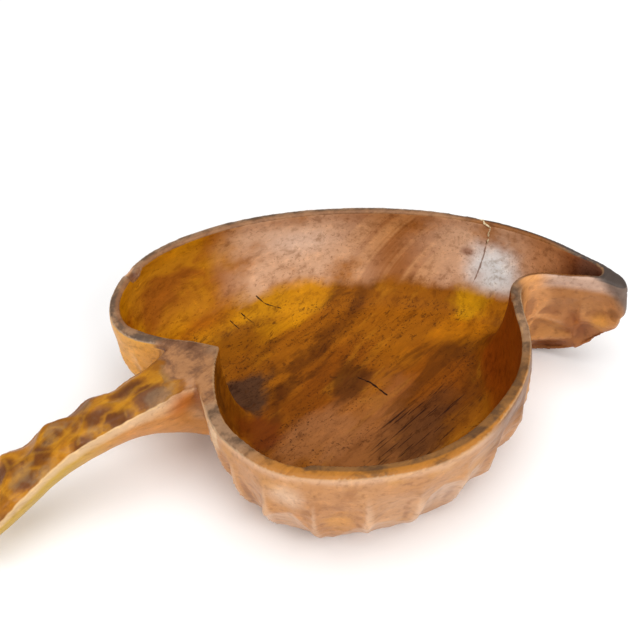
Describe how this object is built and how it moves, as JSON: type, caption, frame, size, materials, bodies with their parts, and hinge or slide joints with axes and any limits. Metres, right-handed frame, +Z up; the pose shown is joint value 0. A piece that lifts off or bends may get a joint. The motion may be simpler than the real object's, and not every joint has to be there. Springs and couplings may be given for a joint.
{
  "type": "carved wooden ladle cup",
  "caption": "Carved wooden ladle cup (kuksa): leaf-shaped bowl with a pointed pouring spout, gouge-cut walls, a scalloped handle and a mended split.",
  "frame": {"origin": "on the table under the middle of the foot", "axes": "+Z up out of the open bowl, +X along the length towards the spout with the handle on -X, +Y towards the longer wall of the bowl"},
  "size_m": [0.2804, 0.1644, 0.048],
  "materials": {
    "bowl_wood": "oiled and worn, satin",
    "spout_wood": "oiled and worn, satin",
    "handle_wood": "oiled and worn, with dark scorched hollows",
    "filler": "dried glue, matt"
  },
  "bodies": {
    "root": {"bowl": "bowl_wood", "spout": "spout_wood", "handle": "handle_wood", "split_filler": "filler"}
  },
  "joints": []
}
